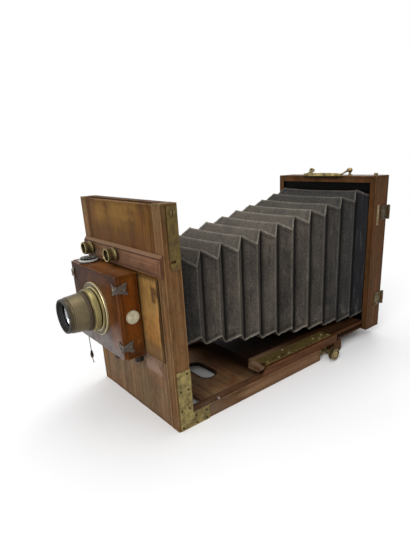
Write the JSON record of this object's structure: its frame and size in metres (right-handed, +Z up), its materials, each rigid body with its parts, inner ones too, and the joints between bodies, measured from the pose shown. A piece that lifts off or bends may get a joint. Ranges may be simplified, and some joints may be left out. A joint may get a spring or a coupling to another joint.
{
  "type": "wooden field camera",
  "caption": "Wooden field camera on an open bed: boxed roller-blind lens shutter on a rising and cross front, pleated bellows, rack-focused sliding back with a hinged screen.",
  "frame": {"origin": "the middle of the tripod bush, on the underside of the bed that meets a tripod head", "axes": "+X to the right as seen from the lens side, +Y from the lens back to the screen, +Z up"},
  "size_m": [0.1752, 0.4067, 0.2299],
  "materials": {
    "frame_wood": "satin",
    "light_wood": "satin",
    "dark_wood": "satin",
    "red_wood": "polished",
    "worn_brass": "worn",
    "bright_brass": "polished",
    "dark_steel": "satin",
    "pale_metal": "satin",
    "bellows_cloth": "matte",
    "blind_cloth": "matte",
    "cord": "matte",
    "bare_disc": "matte",
    "glass": "polished",
    "frosted_glass": "frosted"
  },
  "bodies": {
    "bed": {"front_stile_left": "frame_wood", "front_stile_right": "frame_wood", "front_lower_board": "light_wood", "front_sill": "frame_wood", "front_inner_frame": "frame_wood", "corner_plate_left": "worn_brass", "corner_plate_right": "worn_brass", "plate_nails": "dark_steel", "bed_rail_front_left": "frame_wood", "bed_rail_front_right": "frame_wood", "bed_rail_rear_left": "frame_wood", "bed_rail_rear_right": "frame_wood", "base_board": "dark_wood", "tripod_bush": "bright_brass", "guide_wall_left": "red_wood", "guide_wall_right": "red_wood", "rear_cross_block": "frame_wood", "shaft_bearings": "bright_brass", "strap_screws": "bright_brass", "rail_pins": "pale_metal", "bellows_front_ring": "dark_wood", "bellows": "bellows_cloth"},
    "rising_front": {"rising_board": "frame_wood", "front_panel": "light_wood", "cross_bar": "frame_wood", "lens_board": "light_wood"},
    "thumbscrew_left": {"thumbscrew_left": "bright_brass"},
    "thumbscrew_right": {"thumbscrew_right": "bright_brass"},
    "cross_front": {"shutter_case": "red_wood", "shutter_lid": "red_wood", "lid_clips": "dark_steel", "side_disc": "bare_disc", "slide_plate": "dark_wood", "retaining_ring": "worn_brass", "roller_axles": "pale_metal", "shutter_blind": "blind_cloth", "case_studs": "dark_steel", "cord_ferrule": "bright_brass", "pull_cord": "cord", "pull_bead": "cord", "lens_flange": "bright_brass", "lens_barrel": "worn_brass", "lens_glasses": "glass"},
    "roller_left": {"blind_roller_left": "light_wood"},
    "roller_right": {"blind_roller_right": "light_wood"},
    "dial": {"setting_dial": "pale_metal"},
    "release": {"release_pin": "dark_steel"},
    "iris_ring": {"iris_ring": "dark_steel"},
    "strap_left": {"strap_left": "worn_brass"},
    "strap_right": {"strap_right": "worn_brass"},
    "focus_shaft": {"focus_shaft": "worn_brass"},
    "back_carriage": {"tailboard": "frame_wood", "runner_plates": "worn_brass", "focus_racks": "bright_brass", "back_frame": "frame_wood", "bellows_rear_ring": "dark_wood", "back_fittings": "worn_brass"},
    "handle": {"carrying_handle": "bright_brass"},
    "screen": {"screen_frame": "frame_wood", "ground_glass": "frosted_glass"}
  },
  "joints": [
    {"name": "front_rise", "type": "slide", "parent": "bed", "child": "rising_front", "axis": [0, 0, 1], "range_m": [0, 0.018]},
    {"name": "cross_shift", "type": "slide", "parent": "rising_front", "child": "cross_front", "axis": [1, 0, 0], "range_m": [0, 0.024]},
    {"name": "thumbscrew_left_turn", "type": "hinge", "parent": "rising_front", "child": "thumbscrew_left", "pos_m": [-0.054, -0.154, 0.16545], "axis": [0, -1, 0], "range_deg": [0, 360]},
    {"name": "thumbscrew_right_turn", "type": "hinge", "parent": "rising_front", "child": "thumbscrew_right", "pos_m": [-0.001, -0.154, 0.16545], "axis": [0, -1, 0], "range_deg": [0, 360]},
    {"name": "roller_left_turn", "type": "hinge", "parent": "cross_front", "child": "roller_left", "pos_m": [-0.0475, -0.1639, 0.11], "axis": [0, 0, 1], "range_deg": [0, 720]},
    {"name": "roller_right_turn", "type": "hinge", "parent": "cross_front", "child": "roller_right", "pos_m": [0.0091, -0.1639, 0.11], "axis": [0, 0, 1], "range_deg": [0, 720]},
    {"name": "dial_turn", "type": "hinge", "parent": "cross_front", "child": "dial", "pos_m": [-0.0475, -0.1639, 0.154], "axis": [0, 0, 1], "range_deg": [0, 300]},
    {"name": "release_press", "type": "slide", "parent": "cross_front", "child": "release", "axis": [0, 0, 1], "range_m": [0, 0.0015], "stiffness_N_per_m": 200},
    {"name": "iris_turn", "type": "hinge", "parent": "cross_front", "child": "iris_ring", "pos_m": [-0.0192, -0.1876, 0.11], "axis": [0, -1, 0], "range_deg": [0, 60]},
    {"name": "strap_left_swing", "type": "hinge", "parent": "bed", "child": "strap_left", "pos_m": [-0.08, -0.1396, 0.208], "axis": [1, 0, 0], "range_deg": [0, 100]},
    {"name": "strap_right_swing", "type": "hinge", "parent": "bed", "child": "strap_right", "pos_m": [0.08, -0.1396, 0.208], "axis": [1, 0, 0], "range_deg": [0, 100]},
    {"name": "back_slide", "type": "slide", "parent": "bed", "child": "back_carriage", "axis": [0, 1, 0], "range_m": [-0.054, 0.025], "deforming": ["bellows"]},
    {"name": "focus_turn", "type": "hinge", "parent": "bed", "child": "focus_shaft", "pos_m": [0, 0.079, 0.00895], "axis": [1, 0, 0], "range_deg": [-330, 700]},
    {"name": "handle_swing", "type": "hinge", "parent": "back_carriage", "child": "handle", "pos_m": [0, 0.17925, 0.2265], "axis": [-1, 0, 0], "range_deg": [0, 120]},
    {"name": "screen_swing", "type": "hinge", "parent": "back_carriage", "child": "screen", "pos_m": [0.083, 0.1962, 0.11], "axis": [0, 0, -1], "range_deg": [0, 175]}
  ],
  "couplings": [
    {"joint": "focus_turn", "follows": "back_slide", "rad_per_m": -222.22},
    {"joint": "roller_right_turn", "follows": "roller_left_turn", "ratio": 1}
  ]
}
